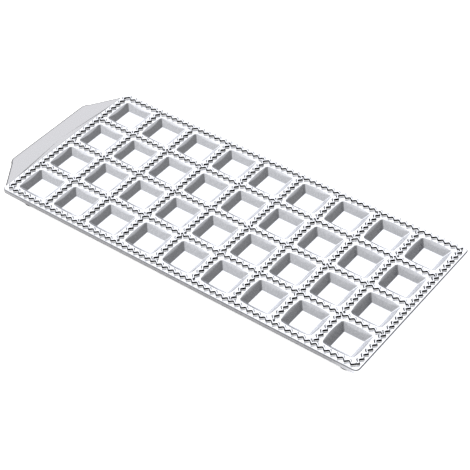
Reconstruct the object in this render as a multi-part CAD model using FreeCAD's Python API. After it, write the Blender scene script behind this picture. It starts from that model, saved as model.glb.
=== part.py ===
import FreeCAD, Part
import math
import os

# Ravioli mould: a die-cast aluminium tray with square wells, a zigzag cutting ridge round every
# well, a flat grip at one end and four rubber feet pressed into bosses underneath.
# Millimetres. +X runs along the tray away from the grip, +Z is up, the feet stand on Z = 0.

# Well grid
wellsLong = 9
wellsWide = 4
pitch = 33.0

# Wells: square pockets with sloping walls, and a flatter lip that bows out along each side
wellMouth = 24.0
wellFloor = 15.8
wellDepth = 4.6
lipBow = 0.9
lipFlats = 3
lipAngle = 32.0

# Cast walls
landThickness = 2.2
wellWall = 1.8
flangeWidth = 4.2
plateCornerRadius = 3.6
skirtHeight = 3.5
skirtThickness = 2.0

# Zigzag cutting ridges: between the wells and round the whole grid
halfTeethPerPitch = 13
ridgeSwing = 2.54
ridgeThickness = 1.4
ridgeHeight = 1.6
ridgeRoot = 0.6
ridgeLead = 1.65

# Grip: a flat tongue with cut-off corners, set a little lower than the plate
gripReach = 18.5
gripTipWidth = 80.0
gripCornerRadius = 8.0
gripThickness = 2.0
gripDrop = 1.5

# Bosses under the corner wells, and the rubber feet bonded to them
footInset = 15.5
bossDiameter = 16.0
bossDrop = 3.0
footDiameter = 15.0
footHeight = 5.0

# Sizes that follow from these
gridLength = wellsLong * pitch
gridWidth = wellsWide * pitch
plateLength = gridLength + 2 * flangeWidth
plateWidth = gridWidth + 2 * flangeWidth
plateLeft = (plateLength + gripReach) / 2 - plateLength
gridLeft = plateLeft + flangeWidth
gridFront = -gridWidth / 2
bossFaceZ = footHeight
wellUndersideZ = bossFaceZ + bossDrop
plateTopZ = wellUndersideZ + wellWall + wellDepth
plateUndersideZ = plateTopZ - landThickness
wellFloorZ = plateTopZ - wellDepth
wallSlope = (wellMouth - wellFloor) / 2 / wellDepth
halfTooth = pitch / halfTeethPerPitch


def upward(shape):
    """Turn a wedge, which is built standing along Y, so that it stands along Z."""
    shape.rotate(FreeCAD.Vector(0, 0, 0), FreeCAD.Vector(1, 0, 0), 90)
    return shape


def squareFrustum(lowHalf, highHalf, lowZ, highZ):
    """A square block round the Z axis whose four sides slope evenly from low to high."""
    return upward(Part.makeWedge(
        -lowHalf, lowZ, -lowHalf, -highHalf, -highHalf,
        lowHalf, highZ, lowHalf, highHalf, highHalf,
    ))


def roundedBlock(left, length, width, radius, lowZ, height):
    """A block centred on Y with its four upright edges rounded."""
    block = Part.makeBox(length, width, height, FreeCAD.Vector(left, -width / 2, lowZ))
    upright = [e for e in block.Edges if abs(e.tangentAt(e.FirstParameter).z) > 0.5]
    return block.makeFillet(radius, upright)


def wellCentres():
    """The middle of every well."""
    return [
        FreeCAD.Vector(gridLeft + (column + 0.5) * pitch, gridFront + (row + 0.5) * pitch, 0)
        for column in range(wellsLong)
        for row in range(wellsWide)
    ]


def footCentres():
    """The middle of every foot, the same inset from both sides at each corner of the plate."""
    ends = (plateLeft + footInset, plateLeft + plateLength - footInset)
    sides = (-plateWidth / 2 + footInset, plateWidth / 2 - footInset)
    return [FreeCAD.Vector(x, y, 0) for x in ends for y in sides]


def wallHalf(z):
    """Half the width of the well between its sloping walls, at a height."""
    return wellMouth / 2 + wallSlope * (z - plateTopZ)


def lipScale(z):
    """How wide the lip opens at a height, against its outline on the land."""
    lipRun = 1 / math.tan(math.radians(lipAngle))
    return 1 + lipRun * (z - plateTopZ) / (wellMouth / 2 + lipBow)


def bowedLip(lowZ, highZ):
    """A square block whose sides bow out and lean in. On the land each side follows an arc from
    corner to corner of the well's mouth, cut into a few flats."""
    half = wellMouth / 2
    radius = (half ** 2 + lipBow ** 2) / (2 * lipBow)
    outline = []
    for quarter in range(4):
        for k in range(lipFlats):
            along = -half + k * wellMouth / lipFlats
            point = FreeCAD.Vector(
                half + lipBow - radius + math.sqrt(radius ** 2 - along ** 2), along, 0)
            turn = FreeCAD.Rotation(FreeCAD.Vector(0, 0, 1), 90 * quarter)
            outline.append(turn.multVec(point))
    rings = []
    for z in (lowZ, highZ):
        ring = [point * lipScale(z) + FreeCAD.Vector(0, 0, z) for point in outline]
        rings.append(ring + ring[:1])
    low, high = rings
    faces = [Part.Face(Part.makePolygon(ring)) for ring in rings]
    for k in range(len(outline)):
        flat = [low[k], low[k + 1], high[k + 1], high[k], low[k]]
        faces.append(Part.Face(Part.makePolygon(flat)))
    return Part.makeSolid(Part.makeShell(faces))


def wellTool():
    """What one well takes out of the plate: the pocket and its lip, both open upwards."""
    lipRun = 1 / math.tan(math.radians(lipAngle))
    lipDepth = lipBow / (lipRun - wallSlope)
    overZ = plateTopZ + ridgeHeight
    pocket = squareFrustum(wellFloor / 2, wallHalf(overZ), wellFloorZ, overZ)
    return pocket.fuse(bowedLip(plateTopZ - 1.2 * lipDepth, overZ))


def wellCasing():
    """The cast wall round one well, seen from below as a blunt square pyramid."""
    sideOffset = wellWall * math.sqrt(1 + wallSlope ** 2)
    highZ = plateTopZ - landThickness / 2
    return squareFrustum(
        wallHalf(wellUndersideZ) + sideOffset, wallHalf(highZ) + sideOffset,
        wellUndersideZ, highZ)


def grip():
    """The tongue at the tab end, from inside the plate's skirt to its rounded tip."""
    tipX = plateLeft - gripReach
    rootHalf = plateWidth / 2 - plateCornerRadius
    tipHalf = gripTipWidth / 2
    lowZ = plateTopZ - gripDrop - gripThickness
    outline = [
        (plateLeft + skirtThickness, -rootHalf), (plateLeft, -rootHalf), (tipX, -tipHalf),
        (tipX, tipHalf), (plateLeft, rootHalf), (plateLeft + skirtThickness, rootHalf),
    ]
    points = [FreeCAD.Vector(x, y, lowZ) for x, y in outline + outline[:1]]
    tongue = Part.Face(Part.makePolygon(points)).extrude(FreeCAD.Vector(0, 0, gripThickness))
    tipCorners = [
        e for e in tongue.Edges
        if abs(e.tangentAt(e.FirstParameter).z) > 0.5 and abs(e.Vertexes[0].X - tipX) < 0.01
    ]
    return tongue.makeFillet(gripCornerRadius, tipCorners)


def zigzagRidge(halfTeeth, start, firstSide, across, alongX):
    """One straight run of ridge: a zigzag ribbon of even thickness, raised from the land."""
    sideways = ridgeThickness / 2 * math.sqrt(1 + (ridgeSwing / halfTooth) ** 2)
    bends = [
        (start + k * halfTooth, across + firstSide * (-1) ** k * ridgeSwing / 2)
        for k in range(halfTeeth + 1)
    ]
    outline = [(along, aside + sideways) for along, aside in bends]
    outline += [(along, aside - sideways) for along, aside in reversed(bends)]
    rootZ = plateTopZ - ridgeRoot
    points = [
        FreeCAD.Vector(a, b, rootZ) if alongX else FreeCAD.Vector(b, a, rootZ)
        for a, b in outline + outline[:1]
    ]
    ribbon = Part.Face(Part.makePolygon(points))
    return ribbon.extrude(FreeCAD.Vector(0, 0, ridgeRoot + ridgeHeight))


def ridgeLattice():
    """All the ridges in one. The teeth per pitch are odd halves, so every second crossing is
    the mirror image of the first, and each run starts and ends on a tooth tip."""
    runs = []
    lead = ridgeLead - halfTooth / 2
    for row in range(wellsWide + 1):
        side = -(-1) ** (row * halfTeethPerPitch)
        runs.append(zigzagRidge(
            wellsLong * halfTeethPerPitch, gridLeft + lead, side, gridFront + row * pitch, True))
    for column in range(wellsLong + 1):
        side = (-1) ** (column * halfTeethPerPitch)
        runs.append(zigzagRidge(
            wellsWide * halfTeethPerPitch, gridFront - lead, side, gridLeft + column * pitch,
            False))
    return runs[0].multiFuse(runs[1:])


def trayShell():
    """Plate, skirt, well casings, bosses and grip, before the wells are opened."""
    plate = roundedBlock(
        plateLeft, plateLength, plateWidth, plateCornerRadius, plateUndersideZ, landThickness)
    skirt = roundedBlock(
        plateLeft, plateLength, plateWidth, plateCornerRadius, plateTopZ - skirtHeight,
        skirtHeight)
    skirt = skirt.cut(roundedBlock(
        plateLeft + skirtThickness, plateLength - 2 * skirtThickness,
        plateWidth - 2 * skirtThickness, plateCornerRadius - skirtThickness,
        plateTopZ - skirtHeight, skirtHeight))
    casings = [wellCasing().translated(centre) for centre in wellCentres()]
    bosses = [
        Part.makeCylinder(
            bossDiameter / 2, plateUndersideZ - bossFaceZ + landThickness / 2,
            centre + FreeCAD.Vector(0, 0, bossFaceZ))
        for centre in footCentres()
    ]
    return plate.multiFuse([skirt, grip()] + casings + bosses)


def castTray():
    """The whole casting."""
    well = wellTool()
    wells = [well.translated(centre) for centre in wellCentres()]
    opened = trayShell().cut(Part.makeCompound(wells))
    return opened.fuse(ridgeLattice()).removeSplitter().Solids[0]


def rubberFoot(centre):
    """A round rubber pad, its top face against the boss."""
    return Part.makeCylinder(footDiameter / 2, footHeight, centre)


os.makedirs("parts", exist_ok=True)
castTray().exportStep("parts/cast_tray.step")
footNames = ("foot_grip_front", "foot_grip_back", "foot_end_front", "foot_end_back")
for name, centre in zip(footNames, footCentres()):
    rubberFoot(centre).exportStep("parts/" + name + ".step")
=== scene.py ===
import math

import bpy
import numpy as np
from mathutils import Matrix, Vector


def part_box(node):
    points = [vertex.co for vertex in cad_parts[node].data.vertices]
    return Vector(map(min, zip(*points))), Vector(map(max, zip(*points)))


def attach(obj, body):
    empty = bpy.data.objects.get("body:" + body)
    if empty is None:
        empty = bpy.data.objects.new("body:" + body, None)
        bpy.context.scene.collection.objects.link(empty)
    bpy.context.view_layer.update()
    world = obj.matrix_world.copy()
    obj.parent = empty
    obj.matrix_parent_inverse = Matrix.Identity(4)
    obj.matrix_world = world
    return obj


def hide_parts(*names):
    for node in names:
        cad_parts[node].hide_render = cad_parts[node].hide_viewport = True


# Ravioli mould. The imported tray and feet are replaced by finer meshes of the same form, with
# rounded edges and drafted ridges. The object's sizes are in millimetres, and its meshes are
# scaled to metres when they are made. Heights of the wells, the plate and the ridges are
# measured from the land. The studio's sizes are in metres.

millimetre = 0.001
weldDigits = 4  # points that agree to this many decimals become one
nearlySame = 1e-6  # the most that two equal distances may differ by


# Collects vertices, triangles and two weights per vertex, then becomes one welded mesh object.
# The tone weight paints shade on the metal above 0 and paints a glow of light below 0; the
# second weight marks the grip.
class Surface:
    def __init__(self):
        self.points = []
        self.faces = []
        self.tone = []
        self.matte = []
        self.count = 0

    def add(self, points, faces, tone=0.0, matte=0.0):
        self.points.append(points)
        self.faces.append(faces + self.count)
        self.tone.append(np.broadcast_to(tone, len(points)).astype(float))
        self.matte.append(np.full(len(points), matte))
        self.count += len(points)

    def build(self, name):
        points = np.concatenate(self.points)
        faces = np.concatenate(self.faces)
        weights = {"tone": np.concatenate(self.tone), "matte": np.concatenate(self.matte)}
        welded, first, index = np.unique(
            np.round(points, weldDigits), axis=0, return_index=True, return_inverse=True)
        faces = index.reshape(-1)[faces]
        a, b, c = faces.T
        faces = faces[(a != b) & (b != c) & (c != a)]
        mesh = bpy.data.meshes.new(name)
        mesh.vertices.add(len(welded))
        mesh.vertices.foreach_set("co", (points[first] * millimetre).ravel())
        mesh.loops.add(faces.size)
        mesh.loops.foreach_set("vertex_index", faces.ravel().astype(np.int32))
        mesh.polygons.add(len(faces))
        mesh.polygons.foreach_set("loop_start", np.arange(0, faces.size, 3, dtype=np.int32))
        mesh.update(calc_edges=True)
        mesh.validate()
        for key, values in weights.items():
            layer = mesh.attributes.new(key, "FLOAT", "POINT")
            layer.data.foreach_set("value", values[first].astype(np.float32))
        mesh.polygons.foreach_set("use_smooth", np.ones(len(mesh.polygons), dtype=bool))
        thing = bpy.data.objects.new(name, mesh)
        bpy.context.scene.collection.objects.link(thing)
        return thing


# Triangles between consecutive rings of count points each, wound outwards when the rings
# run anticlockwise seen from outside and step inwards.
def ringFaces(rings, count):
    r, k = np.meshgrid(np.arange(rings - 1), np.arange(count), indexing="ij")
    a = r * count + k
    b = r * count + (k + 1) % count
    c = b + count
    d = a + count
    return np.concatenate([
        np.stack([a, b, c], -1).reshape(-1, 3), np.stack([a, c, d], -1).reshape(-1, 3)])


# An outline of (x, y) points with a height, one for all or one each.
def atHeight(outline, z):
    return np.column_stack([outline, np.broadcast_to(z, len(outline))])


tray = dict(
    wellsLong=9, wellsWide=4, pitch=33.0,
    wellMouth=24.0, wellFloor=15.8, wellDepth=4.6,
    lipBow=0.9, lipAngle=32.0, mouthCorner=1.3, floorCorner=0.5,
    # widths of the rounded edges, and the shares of them where their middle line lies
    landEdge=0.35, lipEdge=0.3, floorEdge=0.25, landRound=(0.3, 0.15), floorRound=0.2,
    landThickness=2.2, wellWall=1.8,
    flangeWidth=4.2, plateCorner=3.6, plateEdge=0.6,
    skirtHeight=3.5, skirtThickness=2.0, skirtEdge=0.5,
    # the dark line of painted shade along the plate's edge: its width on the land, its tone from
    # the grid out and down over the edge, how much of that tone the sides other than the far end
    # have, and how far inside the line a point still belongs to the far end
    edgeShadeLine=0.3, edgeShadeTones=(0, 0, 0.7, 0.9, 0.6, 0), sideShadeShare=0.7, edgeMargin=0.1,
    arcSteps=3, straightSteps=8, cornerSteps=6,
)


# A square ring that runs anticlockwise, with rounded corners. Each side bows out by
# bow times (1 - (distance along from its middle / half) squared). One side is made and turned.
def sideOutline(half, bow, corner):
    arc = np.radians(np.linspace(-45, 0, tray["arcSteps"] + 1))
    inner = half - corner
    start = np.column_stack([inner + corner * np.cos(arc), -inner + corner * np.sin(arc)])
    along = np.linspace(-inner, inner, tray["straightSteps"] + 1)[1:-1]
    middle = np.column_stack([np.full(len(along), half), along])
    end = start[::-1] * (1, -1)
    side = np.concatenate([start, middle, end])[:-1]
    side[:, 0] += bow * (1 - (side[:, 1] / half) ** 2)
    return turnFourTimes(side)


# A ring from one side's points: (x, y), (-y, x), (-x, -y) and (y, -x).
def turnFourTimes(side):
    x, y = side.T
    return np.concatenate([
        side, np.column_stack([-y, x]), np.column_stack([-x, -y]), np.column_stack([y, -x])])


# The edge of one well's square of land, evenly divided, matching sideOutline's count.
def cellOutline():
    count = 2 * tray["arcSteps"] + tray["straightSteps"]
    half = tray["pitch"] / 2
    along = np.linspace(-half, half, count + 1)[:-1]
    return turnFourTimes(np.column_stack([np.full(count, half), along]))


# How far a well's wall runs outwards for each millimetre up.
def wallSlope():
    return (tray["wellMouth"] - tray["wellFloor"]) / 2 / tray["wellDepth"]


# Where lip and wall meet. Its depth is the bow at that place over the difference of the two
# runs, so it is deepest in the middle of each side and on the land at the corners. Lift moves
# it up the lip (above 0) or down the wall (below 0).
def lipLine(lift):
    half = tray["wellMouth"] / 2
    lipRun = 1 / math.tan(math.radians(tray["lipAngle"]))
    ring = sideOutline(half, 0, tray["mouthCorner"])
    across = np.abs(ring).max(axis=1, keepdims=True)
    along = np.abs(ring).min(axis=1, keepdims=True)
    deep = tray["lipBow"] * (1 - (along / half) ** 2) / (lipRun - wallSlope())
    room = np.minimum(deep, abs(lift)) * np.sign(lift)
    run = np.where(room > 0, lipRun, wallSlope())
    shift = -wallSlope() * deep + run * room
    onSide = np.abs(ring) >= across - nearlySame
    moved = ring + np.sign(ring) * shift * onSide
    return np.column_stack([moved, -(deep - room)])


# The top side of one cell, from its edge on the land down to the floor.
def wellRings():
    half = tray["wellMouth"] / 2
    floorHalf = tray["wellFloor"] / 2
    edge = tray["landEdge"]
    low = tray["wellDepth"]
    mouth = tray["mouthCorner"]
    bow = tray["lipBow"]
    soft = tray["floorEdge"]
    outShare, downShare = tray["landRound"]
    return [
        atHeight(cellOutline(), 0),
        atHeight(sideOutline(half + edge, bow, mouth), 0),
        atHeight(sideOutline(half + edge * outShare, bow, mouth), -edge * downShare),
        lipLine(tray["lipEdge"]),
        lipLine(-tray["lipEdge"]),
        atHeight(sideOutline(floorHalf + soft * wallSlope(), 0, tray["floorCorner"]), soft - low),
        atHeight(sideOutline(floorHalf, 0, tray["floorCorner"]), soft * tray["floorRound"] - low),
        atHeight(sideOutline(floorHalf - soft, 0, tray["floorCorner"]), -low),
    ]


# The underside of the same cell, from its edge down to the underside of the well.
def casingRings():
    offset = tray["wellWall"] * math.sqrt(1 + wallSlope() ** 2)
    bottom = tray["wellDepth"] + tray["wellWall"]
    soft = tray["lipEdge"]

    # The wall runs inwards by its slope times the depth.
    def half(depth):
        return tray["wellMouth"] / 2 - wallSlope() * depth + offset

    top = tray["landThickness"]
    return [
        atHeight(cellOutline(), -top),
        atHeight(sideOutline(half(top) + soft, 0, tray["mouthCorner"]), -top),
        atHeight(sideOutline(half(top + soft), 0, tray["mouthCorner"]), -top - soft),
        atHeight(sideOutline(half(bottom - soft), 0, tray["floorCorner"]), soft - bottom),
        atHeight(sideOutline(half(bottom) - soft, 0, tray["floorCorner"]), -bottom),
    ]


# The rings' vertices and triangles with the last ring filled from its middle.
def closeWithCentre(rings):
    count = len(rings[0])
    points = np.concatenate(rings)
    middle = rings[-1].mean(axis=0, keepdims=True)
    last = (len(rings) - 1) * count
    k = np.arange(count)
    fan = np.column_stack([last + k, last + (k + 1) % count, np.full(count, len(points))])
    return np.concatenate([points, middle]), np.concatenate([ringFaces(len(rings), count), fan])


# Plan position of every well.
def wellCentres():
    column, row = np.meshgrid(
        np.arange(tray["wellsLong"]), np.arange(tray["wellsWide"]), indexing="ij")
    x = gridLeft + (column.ravel() + 0.5) * tray["pitch"]
    y = -tray["wellsWide"] * tray["pitch"] / 2 + (row.ravel() + 0.5) * tray["pitch"]
    return np.column_stack([x, y])


# All the cells, top and underside, as copies of one.
def addCells(surface):
    for rings, flip in ((wellRings(), False), (casingRings(), True)):
        points, faces = closeWithCentre(rings)
        if flip:
            faces = faces[:, ::-1]
        centres = wellCentres()
        shift = np.column_stack([centres, np.full(len(centres), landZ)])
        cells = (points[None] + shift[:, None]).reshape(-1, 3)
        starts = np.arange(len(centres)) * len(points)
        surface.add(cells, (faces[None] + starts[:, None, None]).reshape(-1, 3))


# A ring round the whole grid of cells at a distance outwards. On the grid itself (no
# corner) the points of a corner's arc fall together.
def plateRing(outward, z, corner):
    perSide = 2 * tray["arcSteps"] + tray["straightSteps"]
    halfLong = tray["wellsLong"] * tray["pitch"] / 2
    halfWide = tray["wellsWide"] * tray["pitch"] / 2
    long = np.linspace(-halfLong, halfLong, tray["wellsLong"] * perSide + 1)
    wide = np.linspace(-halfWide, halfWide, tray["wellsWide"] * perSide + 1)
    sides = [
        np.column_stack([np.full(len(wide), halfLong + outward), wide]),
        np.column_stack([long[::-1], np.full(len(long), halfWide + outward)]),
        np.column_stack([np.full(len(wide), -halfLong - outward), wide[::-1]]),
        np.column_stack([long, np.full(len(long), -halfWide - outward)]),
    ]
    ring = []
    for quarter, (side, signs) in enumerate(zip(sides, ((1, 1), (-1, 1), (-1, -1), (1, -1)))):
        angle = np.radians(90 * quarter + np.linspace(0, 90, tray["cornerSteps"] + 1))
        centre = np.array([halfLong, halfWide]) + max(outward, 0) - corner
        arc = centre * signs + corner * np.column_stack([np.cos(angle), np.sin(angle)])
        ring += [side, arc]
    x0 = gridLeft + halfLong
    return atHeight(np.concatenate(ring) + (x0, 0), landZ + z)


# From the grid's edge out over the plate's rounded edge, down the skirt and back in. Rings on
# the upper edge are drawn in by its radius times (1 - sine) and lie its radius times
# (1 - cosine) below the land. On the skirt's lower edge sine and cosine change places.
def addFlange(surface):
    out = tray["flangeWidth"]
    corner = tray["plateCorner"]
    edge = tray["plateEdge"]
    low = tray["skirtHeight"]
    soft = tray["skirtEdge"]
    wall = tray["skirtThickness"]
    shadeLine = edge + tray["edgeShadeLine"]
    steps = [(0, 0, 0), (out - shadeLine, 0, corner - shadeLine)]
    for angle in (0, 30, 60, 90):
        a = math.radians(angle)
        inset = edge * (1 - math.sin(a))
        steps.append((out - inset, -edge * (1 - math.cos(a)), corner - inset))
    for angle in (0, 45, 90):
        a = math.radians(angle)
        inset = soft * (1 - math.cos(a))
        steps.append((out - inset, soft * (1 - math.sin(a)) - low, corner - inset))
    steps.append((out - wall, -low, corner - wall))
    steps.append((out - wall, -tray["landThickness"], corner - wall))
    steps.append((0, -tray["landThickness"], 0))
    rings = []
    for outward, z, radius in steps:
        rings.append(plateRing(outward, z, radius))
    points = np.concatenate(rings)
    # Painted shade: a dark line over the plate's rounded edge, full at the far end, weaker
    # elsewhere.
    tones = np.zeros(len(rings))
    tones[:len(tray["edgeShadeTones"])] = tray["edgeShadeTones"]
    farEnd = gridLeft + tray["wellsLong"] * tray["pitch"] + out - shadeLine - tray["edgeMargin"]
    tone = np.repeat(tones, len(rings[0])) * np.where(points[:, 0] > farEnd, 1, tray["sideShadeShare"])
    surface.add(points, ringFaces(len(rings), len(rings[0]))[:, ::-1], tone=tone)


ridges = dict(
    halfTeethPerPitch=13, swing=2.54, lead=1.65, height=1.6,
    # radii of the bends on their outer and inner side, and how much lower the columns lie, so
    # that two tops that cross aren't in one plane
    outerRound=0.45, innerRound=0.4, columnDrop=0.01,
    # half the width, height and tone (painted shade above 0, painted glow below 0), from the foot
    # of the flank to the edge of the top
    flankFoot=((1.1, -0.2, 0), (1.0, 0.02, -1), (0.94, 0.25, -1)),
    flankTop=((0.38, 1.56, 1), (0.34, 1.59, 0), (0.28, 1.6, 0)),
    # half the width where the band of painted shade starts, how far in and down its sharp edge
    # takes, and its height on the rows and on the columns
    shadeBandWidth=0.92, shadeBandEdge=(0.01, 0.04), rowShadeBand=0.74, columnShadeBand=0.45,
)


# The centreline of a zigzag run, one point per bend: along is the start plus k half teeth,
# and aside is half the swing, to each side by turns.
def bendPoints(count, start, firstSide):
    k = np.arange(count + 1)
    halfTooth = tray["pitch"] / ridges["halfTeethPerPitch"]
    return np.column_stack([
        start + k * halfTooth, firstSide * (-1.0) ** k * ridges["swing"] / 2])


# Three stations per bend on one flank: before, on and after the rounded corner. Each has
# a point where the band of painted shade starts and the flank's outward direction there. The
# corner lies on the bisector, at the half width over the cosine of half the bend.
def flankStations(bends, hand):
    width = ridges["shadeBandWidth"]
    step = np.diff(bends, axis=0)
    step /= np.linalg.norm(step, axis=1, keepdims=True)
    before = np.concatenate([step[:1], step])
    after = np.concatenate([step, step[-1:]])
    normalBefore = hand * np.column_stack([-before[:, 1], before[:, 0]])
    normalAfter = hand * np.column_stack([-after[:, 1], after[:, 0]])
    bisector = normalBefore + normalAfter
    bisector /= np.linalg.norm(bisector, axis=1, keepdims=True)
    cosine = np.sum(bisector * normalBefore, axis=1, keepdims=True)
    corner = bends + bisector * width / cosine
    turn = np.sum(normalBefore * after, axis=1, keepdims=True)
    radius = np.where(turn < 0, ridges["outerRound"], ridges["innerRound"])
    back = radius * np.sqrt(1 / cosine ** 2 - 1)
    pull = np.sign(turn) * radius * (1 / cosine - 1)
    points = np.stack([corner - before * back, corner + bisector * pull, corner + after * back], 1)
    normals = np.stack([normalBefore, bisector, normalAfter], 1)
    return points.reshape(-1, 2), normals.reshape(-1, 2)


# One closed ridge: the flank's profile at every station of both flanks, with flat ends.
def ridgeRun(bends, shadeBand):
    width = ridges["shadeBandWidth"]
    inward, down = ridges["shadeBandEdge"]
    # Painted glow on the flank below the band, painted shade from the band up to the top's edge.
    start = ((width, shadeBand - down, -1), (width - inward, shadeBand, 1))
    profile = np.array(ridges["flankFoot"] + start + ridges["flankTop"])
    sections = []
    for hand in (1, -1):
        points, normals = flankStations(bends, hand)
        out = profile[:, 0] - width
        plan = points[:, None] + normals[:, None] * out[None, :, None]
        height = np.broadcast_to(profile[:, 1], plan.shape[:2])
        sections.append(np.concatenate([plan, height[..., None]], axis=2))
    left, right = sections
    section = np.concatenate([left, right[:, ::-1]], axis=1)
    stations, around = section.shape[:2]
    points = section.reshape(-1, 3)
    faces = ringFaces(stations, around)
    k = np.arange(1, around - 1)
    cap = np.column_stack([np.zeros_like(k), k, k + 1])
    last = (stations - 1) * around
    tone = np.tile(np.concatenate([profile[:, 2], profile[::-1, 2]]), stations)
    return points, np.concatenate([faces, cap[:, ::-1], cap + last]), tone


# Every run of ridge along and across the tray. The half teeth per pitch are odd, so each
# second line is the mirror image of the one before.
def addRidges(surface):
    halfTeeth = ridges["halfTeethPerPitch"]
    lead = ridges["lead"] - tray["pitch"] / halfTeeth / 2
    front = -tray["wellsWide"] * tray["pitch"] / 2
    for row in range(tray["wellsWide"] + 1):
        side = -(-1) ** (row * halfTeeth)
        points, faces, tone = ridgeRun(
            bendPoints(tray["wellsLong"] * halfTeeth, gridLeft + lead, side), ridges["rowShadeBand"])
        points = points + (0, front + row * tray["pitch"], landZ)
        surface.add(points, faces, tone=tone)
    for column in range(tray["wellsLong"] + 1):
        side = (-1) ** (column * halfTeeth)
        points, faces, tone = ridgeRun(
            bendPoints(tray["wellsWide"] * halfTeeth, front - lead, side), ridges["columnShadeBand"])
        points = points[:, (1, 0, 2)]
        points = points + (gridLeft + column * tray["pitch"], 0, landZ - ridges["columnDrop"])
        surface.add(points, faces[:, ::-1], tone=tone)


grip = dict(
    reach=18.5, tipWidth=80.0, corner=8.0, thickness=2.0, drop=1.5, edge=0.7, edgeRound=0.3,
    # how far the root reaches into the skirt, as a share of its thickness
    rootShare=0.8,
    # the dark line of painted shade round the rim: its width on the top, its soft side and its
    # tone
    shadeLine=0.35, shadeLineFade=0.1, shadeLineTone=0.8,
)


# The tongue: corners' arcs about fixed centres, so each ring is the same outline drawn
# further in.
def addGrip(surface):
    plateLeft = gridLeft - tray["flangeWidth"]
    plateHalf = tray["wellsWide"] * tray["pitch"] / 2 + tray["flangeWidth"] - tray["plateCorner"]
    tipX = plateLeft - grip["reach"]
    tipHalf = grip["tipWidth"] / 2
    rootX = plateLeft + tray["skirtThickness"] * grip["rootShare"]
    lean = math.atan2(grip["reach"], plateHalf - tipHalf)
    tipTurn = math.degrees(lean)
    cornerRun = grip["corner"] * math.tan(lean / 2)
    small = grip["edge"]
    bevel = small * grip["edgeRound"]
    shadeLine = small + grip["shadeLine"]
    centres = [
        (rootX - small, plateHalf - small, small, 0, 90),
        (plateLeft, plateHalf - small, small, 90, 90 + tipTurn),
        (tipX + grip["corner"], tipHalf - cornerRun, grip["corner"], 90 + tipTurn, 180),
        (tipX + grip["corner"], cornerRun - tipHalf, grip["corner"], 180, 270 - tipTurn),
        (plateLeft, small - plateHalf, small, 270 - tipTurn, 270),
        (rootX - small, small - plateHalf, small, 270, 360),
    ]
    middle = []
    reach = []
    for x, y, radius, start, end in centres:
        angle = np.radians(np.linspace(start, end, tray["cornerSteps"] + 1))
        middle.append(np.broadcast_to((x, y), (len(angle), 2)))
        reach.append(np.column_stack([np.cos(angle), np.sin(angle), np.full(len(angle), radius)]))
    middle = np.concatenate(middle)
    reach = np.concatenate(reach)
    top = landZ - grip["drop"]
    bottom = top - grip["thickness"]
    rings = []
    for inset, z in (
            (small, bottom), (bevel, bottom + bevel), (0, bottom + small),
            (0, top - small), (bevel, top - bevel), (small, top), (shadeLine, top),
            (shadeLine + grip["shadeLineFade"], top)):
        outline = middle + reach[:, :2] * (reach[:, 2:] - inset)
        rings.append(atHeight(outline, z))
    points, faces = closeWithCentre(rings)
    count = len(rings[0])
    k = np.arange(count)
    under = np.column_stack([(k + 1) % count, k, np.full(count, len(points))])
    points = np.concatenate([points, rings[0].mean(axis=0, keepdims=True)])
    # Painted shade round the grip's rim: every ring but the first under it and the last on top.
    rim = np.full(len(rings), grip["shadeLineTone"])
    rim[[0, -1]] = 0
    tone = np.append(np.repeat(rim, count), (0, 0))
    surface.add(points, np.concatenate([faces, under]), tone=tone, matte=1)


feet = dict(
    inset=15.5, bossDiameter=16.0, bossEdge=0.3, bossRings=6,
    diameter=15.0, height=5.0, edge=0.4, edgeRound=0.3, steps=48,
)


# A closed turned shape from (radius, height) points that start and end on the axis:
# x is radius times cosine and y is radius times sine, from the centre.
def lathe(profile, centre):
    angle = np.linspace(0, 2 * math.pi, feet["steps"], endpoint=False)
    radius, z = np.array(profile).T
    x = radius[:, None] * np.cos(angle) + centre[0]
    y = radius[:, None] * np.sin(angle) + centre[1]
    points = np.stack([x, y, np.broadcast_to(z[:, None], x.shape)], -1).reshape(-1, 3)
    return points, ringFaces(len(profile), feet["steps"])


# Plan position of every foot, the same inset from both sides at each corner of the plate.
def footCentres():
    plateLeft = gridLeft - tray["flangeWidth"]
    plateRight = gridLeft + tray["wellsLong"] * tray["pitch"] + tray["flangeWidth"]
    halfWide = tray["wellsWide"] * tray["pitch"] / 2 + tray["flangeWidth"]
    return {
        "foot_grip_front": (plateLeft + feet["inset"], feet["inset"] - halfWide),
        "foot_grip_back": (plateLeft + feet["inset"], halfWide - feet["inset"]),
        "foot_end_front": (plateRight - feet["inset"], feet["inset"] - halfWide),
        "foot_end_back": (plateRight - feet["inset"], halfWide - feet["inset"]),
    }


# A height inside the metal above any plan position: half a wall's thickness under the
# nearest well's floor or wall, or under the land.
def insideWalls(x, y):
    halfWide = tray["wellsWide"] * tray["pitch"] / 2
    across = np.maximum(
        np.abs((x - gridLeft) % tray["pitch"] - tray["pitch"] / 2),
        np.abs((y + halfWide) % tray["pitch"] - tray["pitch"] / 2))
    wall = (across - tray["wellFloor"] / 2) / wallSlope() - tray["wellDepth"]
    skin = np.clip(wall, -tray["wellDepth"], 0)
    return landZ + skin - tray["wellWall"] / 2


# Round pads under the corner wells, each closed on top inside the metal above it.
def addBosses(surface):
    radius = feet["bossDiameter"] / 2
    edge = feet["bossEdge"]
    for centre in footCentres().values():
        low = [(0, feet["height"]), (radius - edge, feet["height"]),
               (radius, feet["height"] + edge)]
        high = [(radius * share, 0) for share in np.linspace(1, 0, feet["bossRings"])]
        points, faces = lathe(low + high, centre)
        top = points[len(low) * feet["steps"]:]
        top[:, 2] = insideWalls(top[:, 0], top[:, 1])
        surface.add(points, faces)


def makeTray():
    surface = Surface()
    addCells(surface)
    addFlange(surface)
    addRidges(surface)
    addGrip(surface)
    addBosses(surface)
    thing = surface.build("fine_tray")
    thing.modifiers.new("even_normals", "WEIGHTED_NORMAL")
    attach(thing, "root")
    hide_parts("cast_tray")
    return thing


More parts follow.
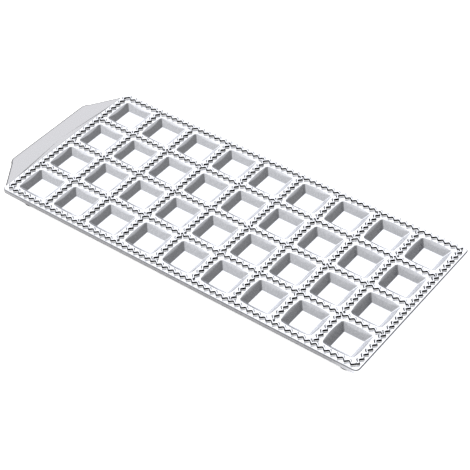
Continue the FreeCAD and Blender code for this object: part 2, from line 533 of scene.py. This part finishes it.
def makeFoot(name, centre):
    radius = feet["diameter"] / 2
    edge = feet["edge"]
    bevel = edge * feet["edgeRound"]
    profile = [(0, 0), (radius - edge, 0), (radius - bevel, bevel), (radius, edge),
               (radius, feet["height"]), (0, feet["height"])]
    surface = Surface()
    surface.add(*lathe(profile, centre))
    thing = surface.build("fine_" + name)
    thing.modifiers.new("even_normals", "WEIGHTED_NORMAL")
    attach(thing, "root")
    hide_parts(name)
    return thing


aluminium = dict(
    landColour=(0.64, 0.65, 0.685), streakColour=(0.54, 0.55, 0.585),
    # the grip's colour, the near-black colour of the painted shade, and the strength of the
    # painted glow
    gripColour=(0.355, 0.355, 0.371), paintedShadeColour=(0.015, 0.018, 0.022), footGlow=0.6,
    streaks=(1.1, 1.1, 9.0), streakSpan=(0.3, 0.7), metallic=1.0, roughness=0.2,
    grainSize=0.5, grainDepth=0.002, grainStrength=0.6, noiseDetail=2,
)
rubber = dict(colour=(0.006, 0.006, 0.006), roughness=0.6, gloss=0.15)


def newMaterial(name):
    material = bpy.data.materials.new(name)
    material.use_nodes = True
    tree = material.node_tree
    return material, tree, tree.nodes["Principled BSDF"]


# A colour mix by a weight socket. Low and high are colours or sockets. Sockets 6 and 7 and
# output 2 are the mix node's own for colours.
def mixColour(tree, weight, low, high):
    node = tree.nodes.new("ShaderNodeMix")
    node.data_type = "RGBA"
    tree.links.new(weight, node.inputs["Factor"])
    for socket, value in ((node.inputs[6], low), (node.inputs[7], high)):
        if isinstance(value, tuple):
            socket.default_value = (*value, 1)
        else:
            tree.links.new(value, socket)
    return node.outputs[2]


def attribute(tree, name):
    node = tree.nodes.new("ShaderNodeAttribute")
    node.attribute_name = name
    return node.outputs["Fac"]


def mathNode(tree, kind, first, second):
    node = tree.nodes.new("ShaderNodeMath")
    node.operation = kind
    node.use_clamp = True
    for socket, value in zip(node.inputs, (first, second)):
        if isinstance(value, (int, float)):
            socket.default_value = value
        else:
            tree.links.new(value, socket)
    return node.outputs[0]


# Satin cast metal with faint upright streaks and a fine grain. The tone weight paints shade on
# it: the dark band under the ridges' tops and the dark lines along the edges. Below 0 it paints
# light instead, a glow at the ridges' foot. The grip is darker.
def makeAluminium():
    material, tree, shader = newMaterial("cast_aluminium")
    place = tree.nodes.new("ShaderNodeTexCoord")
    stretch = tree.nodes.new("ShaderNodeMapping")
    stretch.inputs["Scale"].default_value = [1 / (w * millimetre) for w in aluminium["streaks"]]
    tree.links.new(place.outputs["Object"], stretch.inputs["Vector"])
    streaks = tree.nodes.new("ShaderNodeTexNoise")
    streaks.inputs["Scale"].default_value = 1.0
    streaks.inputs["Detail"].default_value = aluminium["noiseDetail"]
    tree.links.new(stretch.outputs["Vector"], streaks.inputs["Vector"])
    contrast = tree.nodes.new("ShaderNodeMapRange")
    contrast.inputs["From Min"].default_value, contrast.inputs["From Max"].default_value = (
        aluminium["streakSpan"])
    tree.links.new(streaks.outputs["Fac"], contrast.inputs["Value"])
    colour = mixColour(
        tree, contrast.outputs["Result"], aluminium["landColour"], aluminium["streakColour"])
    # The grip's colour is darker than the land's.
    colour = mixColour(tree, attribute(tree, "matte"), colour, aluminium["gripColour"])
    # Painted shade: the tone weight mixes a near-black colour into the metal.
    colour = mixColour(tree, attribute(tree, "tone"), colour, aluminium["paintedShadeColour"])
    tree.links.new(colour, shader.inputs["Base Color"])
    # Painted light: below 0 the tone weight makes the metal glow white.
    lit = mathNode(tree, "MULTIPLY", attribute(tree, "tone"), -aluminium["footGlow"])
    shader.inputs["Emission Color"].default_value = (1, 1, 1, 1)
    tree.links.new(lit, shader.inputs["Emission Strength"])
    shader.inputs["Metallic"].default_value = aluminium["metallic"]
    shader.inputs["Roughness"].default_value = aluminium["roughness"]
    noise = tree.nodes.new("ShaderNodeTexNoise")
    noise.inputs["Scale"].default_value = 1 / (aluminium["grainSize"] * millimetre)
    noise.inputs["Detail"].default_value = aluminium["noiseDetail"]
    tree.links.new(place.outputs["Object"], noise.inputs["Vector"])
    bump = tree.nodes.new("ShaderNodeBump")
    bump.inputs["Strength"].default_value = aluminium["grainStrength"]
    bump.inputs["Distance"].default_value = aluminium["grainDepth"] * millimetre
    tree.links.new(noise.outputs["Fac"], bump.inputs["Height"])
    tree.links.new(bump.outputs["Normal"], shader.inputs["Normal"])
    return material


def makeRubber():
    material, tree, shader = newMaterial("foot_rubber")
    shader.inputs["Base Color"].default_value = (*rubber["colour"], 1)
    shader.inputs["Roughness"].default_value = rubber["roughness"]
    shader.inputs["Specular IOR Level"].default_value = rubber["gloss"]
    return material


studio = dict(
    floorSize=6.0, floorColour=(0.9, 0.885, 0.87), floorGlow=0.85,
    # in reflections the floor's glow starts between these two places along X
    glossFrom=0.135, glossTo=0.165, glossGlow=1.2,
    # the sky's brightness by how far a direction points along the axis, from the dark side of
    # the room to the window's side
    skyAxis=(-0.8, 0.35, 0.33),
    skyTones=((-0.7, 0.05), (-0.3, 0.31), (0.11, 0.36), (0.25, 0.95), (0.5, 0.95), (0.62, 1.5),
              (0.72, 2.15), (0.85, 1.9)),
    # what is left of it at the horizon, and the height from which it is whole
    horizonTone=0.15, horizonTop=0.25,
)


# A white floor that glows for the camera and for soft light. In reflections it glows only
# beyond the far end of the tray.
def makeFloor():
    half = studio["floorSize"] / 2
    mesh = bpy.data.meshes.new("floor")
    corners = [(-half, -half, 0), (half, -half, 0), (half, half, 0), (-half, half, 0)]
    mesh.from_pydata(corners, [], [(0, 1, 2, 3)])
    floor = bpy.data.objects.new("floor", mesh)
    bpy.context.scene.collection.objects.link(floor)
    material, tree, shader = newMaterial("floor_white")
    shader.inputs["Base Color"].default_value = (*studio["floorColour"], 1)
    shader.inputs["Roughness"].default_value = 1.0
    shader.inputs["Specular IOR Level"].default_value = 0.0
    shader.inputs["Emission Color"].default_value = (1, 1, 1, 1)
    place = tree.nodes.new("ShaderNodeTexCoord")
    split = tree.nodes.new("ShaderNodeSeparateXYZ")
    tree.links.new(place.outputs["Object"], split.inputs[0])
    inGloss = tree.nodes.new("ShaderNodeMapRange")
    tree.links.new(split.outputs["X"], inGloss.inputs["Value"])
    inGloss.inputs["From Min"].default_value = studio["glossFrom"]
    inGloss.inputs["From Max"].default_value = studio["glossTo"]
    inGloss.inputs["To Max"].default_value = studio["glossGlow"]
    path = tree.nodes.new("ShaderNodeLightPath")
    dimmer = tree.nodes.new("ShaderNodeMapRange")
    tree.links.new(path.outputs["Is Glossy Ray"], dimmer.inputs["Value"])
    dimmer.inputs["To Min"].default_value = studio["floorGlow"]
    tree.links.new(inGloss.outputs["Result"], dimmer.inputs["To Max"])
    tree.links.new(dimmer.outputs["Result"], shader.inputs["Emission Strength"])
    mesh.materials.append(material)


# A room with its light on one side: brightness follows the dot product of the direction with
# one axis, and fades towards the horizon. The camera itself sees plain white.
def makeSky():
    world = bpy.data.worlds.new("studio_sky")
    bpy.context.scene.world = world
    world.use_nodes = True
    tree = world.node_tree
    place = tree.nodes.new("ShaderNodeTexCoord")
    dot = tree.nodes.new("ShaderNodeVectorMath")
    dot.operation = "DOT_PRODUCT"
    tree.links.new(place.outputs["Generated"], dot.inputs[0])
    dot.inputs[1].default_value = studio["skyAxis"]
    tones = studio["skyTones"]
    low, high = tones[0][0], tones[-1][0]
    share = tree.nodes.new("ShaderNodeMapRange")
    tree.links.new(dot.outputs["Value"], share.inputs["Value"])
    share.inputs["From Min"].default_value = low
    share.inputs["From Max"].default_value = high
    ramp = tree.nodes.new("ShaderNodeValToRGB")
    stops = ramp.color_ramp.elements
    brightest = max(tone for _, tone in tones)
    for number, (at, tone) in enumerate(tones):
        stop = stops[number] if number < 2 else stops.new(1)
        stop.position = (at - low) / (high - low)
        stop.color = (tone / brightest, tone / brightest, tone / brightest, 1)
    tree.links.new(share.outputs["Result"], ramp.inputs["Fac"])
    background = tree.nodes["Background"]
    split = tree.nodes.new("ShaderNodeSeparateXYZ")
    tree.links.new(place.outputs["Generated"], split.inputs[0])
    horizon = tree.nodes.new("ShaderNodeMapRange")
    tree.links.new(split.outputs["Z"], horizon.inputs["Value"])
    horizon.inputs["From Max"].default_value = studio["horizonTop"]
    horizon.inputs["To Min"].default_value = studio["horizonTone"] * brightest
    horizon.inputs["To Max"].default_value = brightest
    tree.links.new(ramp.outputs["Color"], background.inputs["Color"])
    tree.links.new(horizon.outputs["Result"], background.inputs["Strength"])
    white = tree.nodes.new("ShaderNodeBackground")
    white.inputs["Color"].default_value = (1, 1, 1, 1)
    path = tree.nodes.new("ShaderNodeLightPath")
    seen = tree.nodes.new("ShaderNodeMixShader")
    tree.links.new(path.outputs["Is Camera Ray"], seen.inputs["Fac"])
    tree.links.new(background.outputs["Background"], seen.inputs[1])
    tree.links.new(white.outputs["Background"], seen.inputs[2])
    tree.links.new(seen.outputs["Shader"], tree.nodes["World Output"].inputs["Surface"])


camera = dict(
    aim=(22.65, -11.7, 13.95), azimuth=37.4, elevation=42.19, distance=1035.0, roll=-1.1,
    lens=114.3, sensor=36.0, clipEnd=20,
)


# The photograph's own view: distance and lens from the grid's perspective.
def makeCamera():
    lens = bpy.data.cameras.new("photo_camera")
    lens.lens = camera["lens"]
    lens.sensor_width = camera["sensor"]
    lens.clip_end = camera["clipEnd"]
    view = bpy.data.objects.new("photo_camera", lens)
    bpy.context.scene.collection.objects.link(view)
    azimuth = math.radians(camera["azimuth"])
    elevation = math.radians(camera["elevation"])
    back = Vector((
        math.sin(azimuth) * math.cos(elevation), -math.cos(azimuth) * math.cos(elevation),
        math.sin(elevation)))
    place = (Vector(camera["aim"]) + back * camera["distance"]) * millimetre
    turn = back.to_track_quat("Z", "Y").to_matrix().to_4x4()
    roll = Matrix.Rotation(math.radians(camera["roll"]), 4, "Z")
    view.matrix_world = Matrix.Translation(place) @ turn @ roll
    bpy.context.scene.camera = view


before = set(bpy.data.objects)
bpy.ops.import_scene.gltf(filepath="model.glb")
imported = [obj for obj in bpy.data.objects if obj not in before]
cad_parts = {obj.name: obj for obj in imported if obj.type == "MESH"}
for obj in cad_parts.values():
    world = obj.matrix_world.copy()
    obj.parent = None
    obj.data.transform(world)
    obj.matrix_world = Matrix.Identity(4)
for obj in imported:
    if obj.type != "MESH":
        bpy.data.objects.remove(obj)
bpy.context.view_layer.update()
trayHigh = np.array(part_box("cast_tray")[1]) / millimetre
landZ = trayHigh[2] - ridges["height"]
gridLeft = trayHigh[0] - tray["flangeWidth"] - tray["wellsLong"] * tray["pitch"]
print("frame loaded, land at", landZ, "grid from", gridLeft)

fineTray = makeTray()
fineTray.data.materials.append(makeAluminium())
print("tray made,", len(fineTray.data.polygons), "triangles")

footRubber = makeRubber()
for name, centre in footCentres().items():
    makeFoot(name, centre).data.materials.append(footRubber)
print("feet made")

makeFloor()
makeSky()
makeCamera()
bpy.context.scene.view_settings.view_transform = "Standard"
print("stage made")
